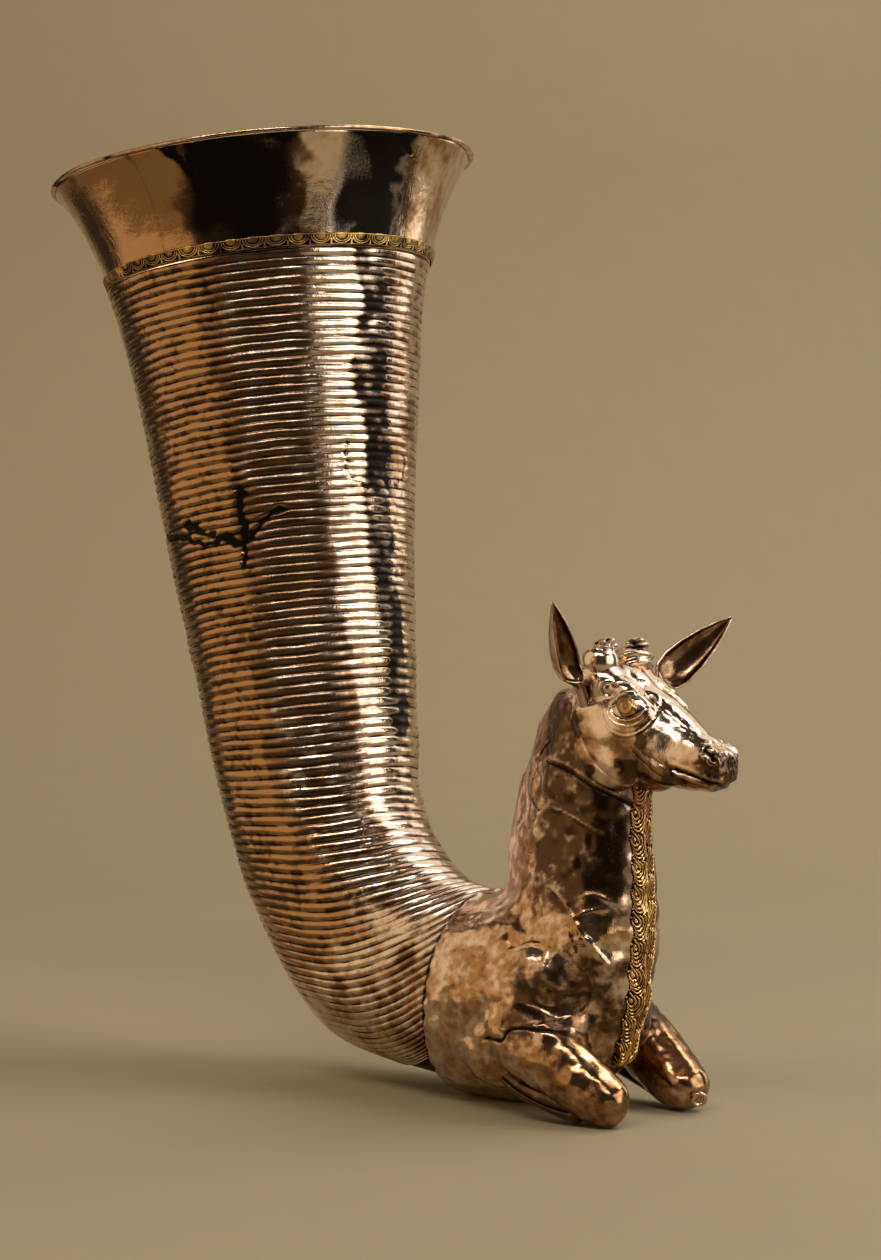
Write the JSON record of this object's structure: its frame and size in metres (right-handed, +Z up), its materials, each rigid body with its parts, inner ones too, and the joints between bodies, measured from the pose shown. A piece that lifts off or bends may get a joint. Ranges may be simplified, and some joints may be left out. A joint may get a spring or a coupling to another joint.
{
  "type": "ibex rhyton",
  "caption": "Ribbed silver drinking horn with a flared mouth and gilt band, bending forward into the forepart of a resting ibex with folded legs and a pouring hole in one knee.",
  "frame": {"origin": "middle of the vessel's footprint, on the surface that it rests on", "axes": "+X towards the ibex's muzzle, +Y to the animal's left, +Z up through the horn's mouth"},
  "size_m": [0.2902, 0.1534, 0.3298],
  "materials": {
    "horn_silver": "ribbed and burnished silver sheet, tarnished brown",
    "mouth_silver": "plain burnished silver sheet",
    "body_silver": "raised and chased silver, patchy tarnish",
    "dark_silver": "tarnished silver",
    "gilt": "worn fire gilding"
  },
  "bodies": {
    "root": {"horn_vessel": "horn_silver", "mouth_collar": "mouth_silver", "gilt_band": "gilt", "rim_lip": "mouth_silver", "chest_shell": "body_silver", "neck": "body_silver", "head": "body_silver", "chest_ruff": "gilt", "ear_left": "body_silver", "ear_right": "body_silver", "horn_stub_left": "body_silver", "horn_stub_right": "body_silver", "eye_left": "gilt", "eye_right": "gilt", "foreleg_left": "body_silver", "foreleg_right": "body_silver", "shin_left": "dark_silver", "shin_right": "dark_silver", "spout_ring": "body_silver"}
  },
  "joints": []
}
